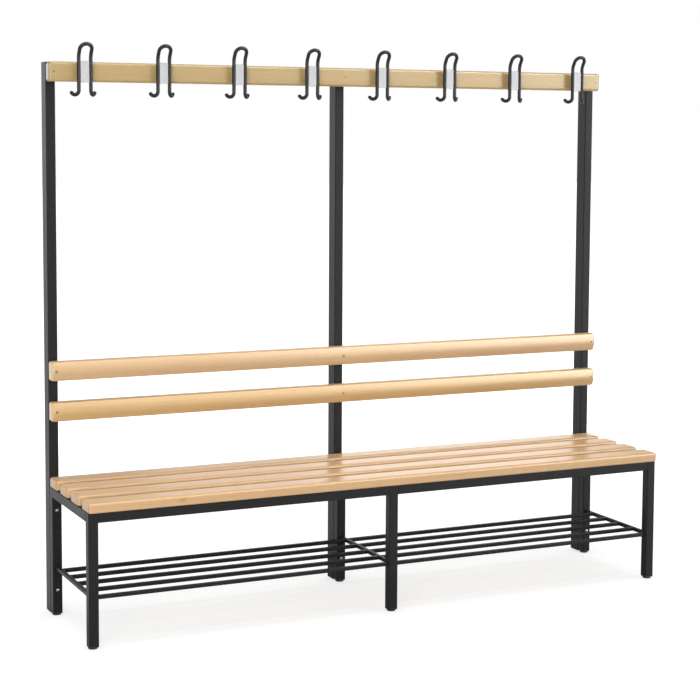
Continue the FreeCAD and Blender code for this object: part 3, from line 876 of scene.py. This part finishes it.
def glide(radius, stem, total, hardware):
    """A levelling glide on Z = 0: a disc whose rim dips in grip notches, and a threaded stem on it.

    The rim's radius is cut by a raised cosine of the angle times the number of notches.
    """
    low, high = hardware.glide_round, hardware.glide_shoulder
    disc = hardware.glide_disc
    hollow = np.array(((0, high / 2), (radius * GLIDE_HOLLOW_SHARE, high / 2),
                       (radius * GLIDE_HOLLOW_EDGE_SHARE, 0)))
    foot = rim(radius - low, low, low, -QUARTER_TURN, 0)
    shoulder = rim(radius - high, disc - high, high, 0, QUARTER_TURN)
    boss = np.array(((stem * GLIDE_BOSS_SHARE, disc), (stem, disc)))
    points = turned(np.concatenate((hollow, foot, shoulder, boss)), GLIDE_SPOKES)
    angle = np.linspace(0, FULL_TURN, GLIDE_SPOKES, endpoint=False)
    notch = (np.clip(np.cos(angle * hardware.glide_notches), 0, 1) ** 2)[None, :]
    around = np.hypot(points[..., 0], points[..., 1])
    at_rim = np.clip((around - radius + low) / low, 0, 1)
    points[..., :2] *= (1 - hardware.glide_notch * notch * at_rim / np.maximum(around, stem))[..., None]
    screw_part = thread(total - hardware.thread_depth, disc, stem, hardware.glide_pitch,
                        hardware.thread_depth, GLIDE_SPOKES)[::-1]
    end = turned(np.array(((stem - hardware.thread_depth, total), (0, total))), GLIDE_SPOKES)
    return np.concatenate((points, screw_part, end))


def end_cap(width, depth, hardware):
    """A cap whose plate's face is Z = 0: rounded rectangles, set back along a rounded edge, then a skirt."""
    bend = np.linspace(QUARTER_TURN, 0, ROUND_ROWS)
    inset = hardware.cap_round * (1 - np.cos(bend))
    level = hardware.cap_round * (np.sin(bend) - 1)
    neck = hardware.cap_neck
    inset = np.concatenate(((width / 2,), inset, (0, neck, neck, width / 2)))
    level = np.concatenate(((0,), level, (-hardware.cap_plate, -hardware.cap_plate,
                                          -hardware.cap_plate - hardware.cap_skirt,
                                          -hardware.cap_plate - hardware.cap_skirt)))[:, None]
    corner = np.maximum(hardware.cap_corner - inset, 0)[:, None]
    quarter = np.arange(4).repeat(CAP_CORNER_POINTS)
    turn = np.tile(np.linspace(0, QUARTER_TURN, CAP_CORNER_POINTS), 4) + quarter * QUARTER_TURN
    side_x = np.array((1, -1, -1, 1))[quarter]
    side_y = np.array((1, 1, -1, -1))[quarter]
    half_x = width / 2 - inset[:, None] - corner
    half_y = np.maximum(depth / 2 - inset[:, None] - corner, depth / 2 - width / 2)
    return np.stack((side_x * half_x + corner * np.cos(turn), side_y * half_y + corner * np.sin(turn),
                     level + 0 * turn), axis=-1)


def bead_curve(wave):
    """One coordinate of a weld's section: a round, flattened by a share of its cube, then the root."""
    return np.append(wave * (1 - BEAD_FLAT_SHARE) + wave ** 3 * BEAD_FLAT_SHARE, -BEAD_ROOT_SHARE)


def weld_bead(start, end, first, second, leg, ripple):
    """A fillet weld along an inside corner: a rippled quarter round between two faces, tapered at its ends.

    Its size is the leg times a share that falls to 0 at both ends and swings with the distance over
    the ripple.
    """
    start, end, first, second = (np.asarray(v, float) for v in (start, end, first, second))
    run = np.linspace(0, 1, BEAD_ROWS)[:, None]
    total = np.linalg.norm(end - start)
    taper = np.sqrt(np.clip(np.minimum(run, 1 - run) * total / leg, 0, 1))
    swing = 1 - RIPPLE_SHARE + RIPPLE_SHARE * np.cos(FULL_TURN * run * total / ripple)
    angle = np.linspace(0, QUARTER_TURN, BEAD_COLUMNS - 1)
    across_first = leg * taper * swing * bead_curve(np.cos(angle))
    across_second = leg * taper * swing * bead_curve(np.sin(angle))
    centre = start + (end - start) * run
    return centre[:, None, :] + across_first[..., None] * first + across_second[..., None] * second


# Operators
class BENCH_OT_beech(Operator):
    """Finish the slats, the backrest rails and the hook rail in lacquered beech."""

    bl_idname = "bench.beech"
    bl_label = "Beech boards"

    def execute(self, context):
        look = context.scene.bench_finishes
        for seed, board in enumerate(SLATS + RAILS, 1):
            dress((board,), beech("beech_" + board, board, seed, look))
        return {"FINISHED"}


class BENCH_OT_tubes(Operator):
    """Powder-coat the legs, rails, uprights and rack bars."""

    bl_idname = "bench.tubes"
    bl_label = "Powder-coated tubes"

    def execute(self, context):
        dress(TUBES, powder_coat(context.scene.bench_finishes))
        return {"FINISHED"}


class BENCH_OT_hooks(Operator):
    """Finish the coat hooks and their moulded holders."""

    bl_idname = "bench.hooks"
    bl_label = "Hooks and holders"

    def execute(self, context):
        look = context.scene.bench_finishes
        dress(HOOKS, hook_coat(look))
        dress(("hook_holders",), holder_plastic(look))
        return {"FINISHED"}


class BENCH_OT_small_parts(Operator):
    """Finish the washers and the threaded inserts."""

    bl_idname = "bench.small_parts"
    bl_label = "Washers and inserts"

    def execute(self, context):
        look = context.scene.bench_finishes
        dress(("frame_washers",), zinc_plate(look))
        dress(("glide_inserts",), black_plastic(look))
        return {"FINISHED"}


class BENCH_OT_rail_screws(Operator):
    """Make the countersunk screws, one at each crossing of a beech rail and an upright."""

    bl_idname = "bench.rail_screws"
    bl_label = "Rail screws"

    def execute(self, context):
        low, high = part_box("rail_screws")
        places = [(middle("upright_" + side).x, low.y, middle(rail).z) for rail in RAILS for side in SIDES]
        radius = high.z - middle(RAILS[-1]).z
        shell = countersunk_screw(radius, high.y - low.y, context.scene.bench_hardware)
        piece("rail_screw_set", [stood(shell, TO_FRONT, places)], dark_screw(context.scene.bench_finishes),
              FRAME_BODY, ("rail_screws",))
        return {"FINISHED"}


class BENCH_OT_pan_screws(Operator):
    """Make the pan-head screws under the seat and behind the hook rail."""

    bl_idname = "bench.pan_screws"
    bl_label = "Pan-head screws"

    def execute(self, context):
        hardware = context.scene.bench_hardware
        zinc = finish_named("zinc_finish")
        low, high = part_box("holder_screws")
        radius = high.z - middle("hook_rail").z
        places = [(middle(hook).x, high.y, middle("hook_rail").z) for hook in HOOKS]
        shell = pan_screw(radius, high.y - low.y, hardware)
        piece("holder_screw_set", [stood(shell, TO_BACK, places)], zinc,
              FRAME_BODY, ("holder_screws",))
        low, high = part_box("slat_screws")
        rows = np.clip([middle(slat).y for slat in SLATS], low.y + radius, high.y - radius)
        places = [(middle("cross_rail_" + side).x, y, low.z) for side in SIDES for y in rows]
        shell = pan_screw(radius, high.z - low.z, hardware)
        piece("slat_screw_set", [stood(shell, TO_FLOOR, places)], zinc,
              FRAME_BODY, ("slat_screws",))
        return {"FINISHED"}


def bolt_places(y):
    """Where the bolts cross the uprights, at a depth."""
    low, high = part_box("frame_bolts")
    radius = high.x - middle("upright_right").x
    return radius, [(middle("upright_" + side).x, y, z)
                    for side in SIDES for z in (low.z + radius, high.z - radius)]


class BENCH_OT_bolts(Operator):
    """Make the dome-head bolts through the rear legs and the uprights."""

    bl_idname = "bench.bolts"
    bl_label = "Dome-head bolts"

    def execute(self, context):
        low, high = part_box("frame_bolts")
        radius, places = bolt_places(low.y)
        shell = dome_bolt(radius, high.y - low.y, context.scene.bench_hardware)
        piece("frame_bolt_set", [stood(shell, TO_FRONT, places)], finish_named("zinc_finish"),
              FRAME_BODY, ("frame_bolts",))
        return {"FINISHED"}


class BENCH_OT_nuts(Operator):
    """Make the hexagon nuts behind the uprights."""

    bl_idname = "bench.nuts"
    bl_label = "Nuts"

    def execute(self, context):
        hardware = context.scene.bench_hardware
        low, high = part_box("frame_nuts")
        corner = high.x - middle("upright_right").x
        shell = hexagon_nut(corner, hardware.bolt_shank, high.y - low.y, hardware)
        _, places = bolt_places(low.y)
        piece("frame_nut_set", [stood(shell, TO_BACK, places)], finish_named("zinc_finish"),
              FRAME_BODY, ("frame_nuts",), closed_rows=True)
        return {"FINISHED"}


class BENCH_OT_glides(Operator):
    """Make the six levelling glides, each on its own body."""

    bl_idname = "bench.glides"
    bl_label = "Levelling glides"

    def execute(self, context):
        hardware = context.scene.bench_hardware
        for name in GLIDES:
            low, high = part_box(name)
            shell = glide((high.x - low.x) / 2, hardware.glide_stem, high.z - low.z, hardware)
            foot = (middle(name).x, middle(name).y, low.z)
            piece(name + "_moulded", [stood(shell, UPRIGHT, [foot])], finish_named("black_plastic_finish"),
                  name, (name,))
        return {"FINISHED"}


class BENCH_OT_caps(Operator):
    """Make the caps in both ends of the uprights."""

    bl_idname = "bench.caps"
    bl_label = "Upright caps"

    def execute(self, context):
        low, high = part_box("upright_caps")
        left_low, left_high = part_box("upright_left")
        shell = end_cap(left_high.x - left_low.x, left_high.y - left_low.y, context.scene.bench_hardware)
        tops = [(middle("upright_" + side).x, middle("upright_" + side).y, high.z) for side in SIDES]
        feet = [(x, y, low.z) for x, y, _ in tops]
        piece("upright_cap_set", [stood(shell, UPRIGHT, tops), stood(shell, TO_FLOOR, feet)],
              finish_named("black_plastic_finish"), FRAME_BODY, ("upright_caps",))
        return {"FINISHED"}


def rail_welds(leg):
    """Corners under the seat rails, where they meet the legs: start, end and the two faces' directions."""
    down = (0, 0, -1)
    corners = []
    for row in LEG_ROWS:
        for bay in BAYS:
            low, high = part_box(f"{row}_rail_{bay}")
            for x, out in ((low.x, 1), (high.x, -1)):
                corners.append(((x, low.y + leg, low.z), (x, high.y - leg, low.z), (out, 0, 0), down))
    for side in SIDES:
        low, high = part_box("cross_rail_" + side)
        for y, out in ((low.y, 1), (high.y, -1)):
            corners.append(((low.x + leg, y, low.z), (high.x - leg, y, low.z), (0, out, 0), down))
    return corners


def rack_welds(leg):
    """Corners where the rack's cross bars meet the legs, and its long bars the cross bars or legs."""
    corners = []
    for side in SIDES:
        low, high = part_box("rack_cross_bar_" + side)
        for y, out in ((low.y, 1), (high.y, -1)):
            for x, face in ((low.x, -1), (high.x, 1)):
                corners.append(((x, y, low.z + leg), (x, y, high.z - leg), (0, out, 0), (face, 0, 0)))
            for z, face in ((low.z, -1), (high.z, 1)):
                corners.append(((low.x + leg, y, z), (high.x - leg, y, z), (0, out, 0), (0, 0, face)))
    for bar in RACK_BARS:
        low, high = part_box(bar)
        for x, out in ((low.x, 1), (high.x, -1)):
            for y, face in ((low.y, -1), (high.y, 1)):
                corners.append(((x, y, low.z + leg), (x, y, high.z - leg), (out, 0, 0), (0, face, 0)))
    return corners


class BENCH_OT_welds(Operator):
    """Make the fillet welds in the inside corners of the frame."""

    bl_idname = "bench.welds"
    bl_label = "Welds"

    def execute(self, context):
        hardware = context.scene.bench_hardware
        beads = [weld_bead(*corner, hardware.weld, hardware.weld_ripple)
                 for corner in rail_welds(hardware.weld)]
        beads += [weld_bead(*corner, hardware.rack_weld, hardware.weld_ripple)
                  for corner in rack_welds(hardware.rack_weld)]
        piece("frame_welds", [np.stack(beads)], finish_named("powder_coat_finish"), FRAME_BODY)
        return {"FINISHED"}


def soft_box(name, spot, extent, watts, aim):
    """A flat lamp that points at a place and isn't seen by the camera."""
    lamp = bpy.data.lights.new(name, "AREA")
    lamp.shape = "RECTANGLE"
    lamp.size, lamp.size_y = extent
    lamp.energy = watts
    made = bpy.data.objects.new(name, lamp)
    made.location = spot
    made.rotation_euler = (Vector(aim) - Vector(spot)).to_track_quat("-Z", "Y").to_euler()
    made.visible_camera = False
    bpy.context.scene.collection.objects.link(made)


def light_paths(finish):
    """1 for a ray from the camera, from a glossy surface and through glass, and 0 for others."""
    return [finish.node("ShaderNodeLightPath", {}, {}, name)
            for name in ("Is Camera Ray", "Is Glossy Ray", "Is Transmission Ray")]


def floor_shine(finish, stage):
    """Strength of the bright floor in front in reflections.

    It grows with the distance in front and with the slant: the distance to the right over that in front.
    Far in front it fades.
    """
    front = 0 - finish.axis(finish.place(), "Y")
    slant = finish.axis(finish.place(), "X") / front
    aside = finish.step(slant, stage.shine_left, stage.shine_right)
    faded = finish.step(front, stage.shine_fade, stage.shine_far) * (1 - stage.shine_far_share)
    return finish.step(front, stage.shine_start, stage.shine_full) * aside * (1 - faded) * stage.shine


def lay_floor(stage):
    """A pale floor that keeps the bench's soft shadow and turns plain white away from it.

    In reflections it is dark under the bench and bright in front of it.
    """
    half = stage.floor_side / 2
    mesh = bpy.data.meshes.new("studio_floor")
    corners = [(-half, -half, 0), (half, -half, 0), (half, half, 0), (-half, half, 0)]
    mesh.from_pydata(corners, [], [(0, 1, 2, 3)])
    material, finish = new_finish("studio_floor_finish")
    away = finish.step(finish.distance(finish.place(), ORIGIN), stage.floor_near, stage.floor_far)
    camera, gloss, glass = light_paths(finish)
    footprint = finish.place(stretch=(1, stage.under_stretch_share, 1))
    reach = finish.distance(footprint, ORIGIN)
    clear = finish.step(reach, stage.under_far, stage.under_far + stage.under_fade)
    seen = camera + (gloss + glass) * clear * stage.floor_gloss
    pale = stage.floor_lift + away * (1 - stage.floor_lift)
    lift = seen * pale + (gloss + glass) * floor_shine(finish, stage)
    tone = opaque((stage.floor_tone,) * 3)
    matt = finish.node("ShaderNodeBsdfDiffuse", {}, {"Color": tone})
    white = finish.node("ShaderNodeEmission", {}, {"Color": opaque(ONES), "Strength": lift})
    both = finish.node("ShaderNodeAddShader", {}, {0: matt, 1: white})
    finish.node("ShaderNodeOutputMaterial", {}, {"Surface": both})
    mesh.materials.append(material)
    floor = bpy.data.objects.new("studio_floor", mesh)
    bpy.context.scene.collection.objects.link(floor)


def sweep_behind(finish, stage, direction):
    """Strength of the white sweep in reflections: less in front and above, and more far to the left."""
    back = finish.step(finish.axis(direction, "Y"), stage.room_front, stage.room_back)
    wall = stage.front_room + back * (1 - stage.front_room)
    aside = finish.step(0 - finish.axis(direction, "X"), 0, stage.sweep_side)
    upper = finish.step(finish.axis(direction, "Z"), stage.sweep_low, stage.sweep_high) * (1 - stage.ceiling)
    return wall * stage.sweep * (1 + aside * stage.sweep_left) * (1 - upper)


def bright_room(finish, stage, direction):
    """Strength of the bright room in front in reflections, which grows to the right and upwards.

    The slant of a direction is its part to the right over its part to the front.
    """
    rise = finish.axis(direction, "Z")
    depth = finish.axis(direction, "Y")
    slant = finish.axis(direction, "X") / (0 - depth)
    wall = finish.step(slant, stage.bright_wall_start, stage.bright_wall_full) * stage.bright_wall
    end = finish.step(slant, stage.bright_end_start, stage.bright_end_full) * stage.bright_end
    gleam = finish.step(rise, stage.gleam_low, stage.gleam_high) * stage.gleam
    ahead = 1 - finish.step(depth, stage.bright_depth, stage.room_front)
    return (wall + end + gleam) * ahead * finish.step(rise, stage.bright_foot, 0)


def light_room(scene, stage):
    """A world that is white to the camera, an even light on matt surfaces, and a room in reflections."""
    scene.world = bpy.data.worlds.new("white_room")
    finish = Finish(scene.world)
    direction = finish.node("ShaderNodeTexCoord", {}, {}, "Generated")
    room = sweep_behind(finish, stage, direction) + bright_room(finish, stage, direction)
    camera, gloss, glass = light_paths(finish)
    bounced = 1 - camera - gloss - glass
    strength = camera + (gloss + glass) * room + bounced * stage.ambient
    light = finish.node("ShaderNodeBackground", {}, {"Color": opaque(ONES), "Strength": strength})
    finish.node("ShaderNodeOutputWorld", {}, {"Surface": light})


def set_camera(stage):
    """The camera: its axes are turned by yaw about Z, then by pitch, then by roll."""
    yaw, pitch, roll = stage.camera_yaw, stage.camera_pitch, stage.camera_roll
    right = Vector((math.cos(yaw), -math.sin(yaw), 0))
    level = Vector((math.sin(yaw), math.cos(yaw), 0))
    up = Vector((0, 0, 1))
    ahead = level * math.cos(pitch) + up * math.sin(pitch)
    head = up * math.cos(pitch) - level * math.sin(pitch)
    rolled_right = right * math.cos(roll) + head * math.sin(roll)
    rolled_head = head * math.cos(roll) - right * math.sin(roll)
    eye = bpy.data.objects.new("camera", bpy.data.cameras.new("camera"))
    eye.data.lens = stage.camera_lens
    eye.data.shift_y = stage.camera_rise
    axes = Matrix((rolled_right, rolled_head, -ahead)).transposed()
    eye.matrix_world = Matrix.Translation(stage.camera_place) @ axes.to_4x4()
    bpy.context.scene.collection.objects.link(eye)
    bpy.context.scene.camera = eye


class BENCH_OT_stage(Operator):
    """Set the white room, the floor, the soft boxes and the camera."""

    bl_idname = "bench.stage"
    bl_label = "Studio"

    def execute(self, context):
        stage = context.scene.bench_stage
        context.scene.view_settings.view_transform = "Standard"
        light_room(context.scene, stage)
        lay_floor(stage)
        for name in ("fill", "top", "back", "glow"):
            settings = (getattr(stage, f"{name}_{setting}") for setting in ("place", "size", "power"))
            soft_box(name + "_light", *settings, stage.aim)
        set_camera(stage)
        return {"FINISHED"}


OPERATORS = (
    BENCH_OT_stage, BENCH_OT_beech, BENCH_OT_tubes, BENCH_OT_hooks, BENCH_OT_small_parts,
    BENCH_OT_rail_screws, BENCH_OT_pan_screws, BENCH_OT_bolts, BENCH_OT_nuts, BENCH_OT_glides,
    BENCH_OT_caps, BENCH_OT_welds,
)


class BENCH_PT_panel(Panel):
    """Buttons for the bench's pieces, and its sizes and colours."""

    bl_idname = "BENCH_PT_panel"
    bl_label = "Cloakroom bench"
    bl_space_type = "VIEW_3D"
    bl_region_type = "UI"
    bl_category = "Bench"

    def draw(self, context):
        for operator in OPERATORS:
            self.layout.operator(operator.bl_idname)
        for group in (context.scene.bench_finishes, context.scene.bench_hardware, context.scene.bench_stage):
            box = self.layout.box()
            for name in group.__annotations__:
                box.prop(group, name)


GROUPS = {"bench_finishes": BenchFinishes, "bench_hardware": BenchHardware, "bench_stage": BenchStage}


def register():
    """Register the groups, operators and panel, and give the scene its settings."""
    for made in (*GROUPS.values(), *OPERATORS, BENCH_PT_panel):
        bpy.utils.register_class(made)
    for name, group in GROUPS.items():
        setattr(bpy.types.Scene, name, PointerProperty(type=group))


def unregister():
    """Take everything back."""
    for name in GROUPS:
        delattr(bpy.types.Scene, name)
    for made in (BENCH_PT_panel, *reversed(OPERATORS), *GROUPS.values()):
        bpy.utils.unregister_class(made)


def main():
    """Build the bench's looks in order."""
    register()
    for operator in OPERATORS:
        group, action = operator.bl_idname.split(".")
        getattr(getattr(bpy.ops, group), action)()


if __name__ == "__main__":
    main()
